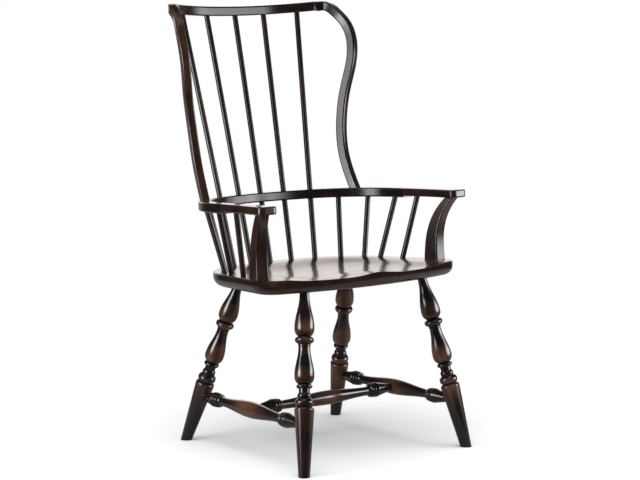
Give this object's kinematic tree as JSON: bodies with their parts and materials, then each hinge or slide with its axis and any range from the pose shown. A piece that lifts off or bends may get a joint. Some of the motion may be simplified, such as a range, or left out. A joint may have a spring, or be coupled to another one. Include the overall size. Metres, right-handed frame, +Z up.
{
  "type": "spindle back armchair",
  "caption": "High-backed wooden armchair with a saddled plank seat, turned splayed legs, spindle back, bent arm rail and a curved crest.",
  "frame": {"origin": "on the floor below the middle of the chair's bounding box", "axes": "+Z up, -Y towards the front, +X to the right as seen from the front"},
  "size_m": [0.6604, 0.6534, 1.1175],
  "materials": {
    "stained_wood": "dark stain under satin lacquer",
    "dowel_wood": "raw"
  },
  "bodies": {
    "root": {"seat": "stained_wood", "leg_front_left": "stained_wood", "leg_front_right": "stained_wood", "leg_rear_left": "stained_wood", "leg_rear_right": "stained_wood", "side_stretcher_left": "stained_wood", "side_stretcher_right": "stained_wood", "cross_stretcher": "stained_wood", "back_rail": "stained_wood", "arm_left": "stained_wood", "arm_right": "stained_wood", "arm_post_left": "stained_wood", "arm_post_right": "stained_wood", "long_spindle_1": "stained_wood", "long_spindle_2": "stained_wood", "long_spindle_3": "stained_wood", "long_spindle_4": "stained_wood", "long_spindle_5": "stained_wood", "short_spindle_left_1": "stained_wood", "short_spindle_left_2": "stained_wood", "short_spindle_left_3": "stained_wood", "short_spindle_left_4": "stained_wood", "short_spindle_right_1": "stained_wood", "short_spindle_right_2": "stained_wood", "short_spindle_right_3": "stained_wood", "short_spindle_right_4": "stained_wood", "wing_left": "stained_wood", "wing_right": "stained_wood", "crest_rail": "stained_wood", "crest_dowels": "dowel_wood", "wing_foot_dowels": "dowel_wood", "arm_joint_dowels": "dowel_wood"}
  },
  "joints": []
}
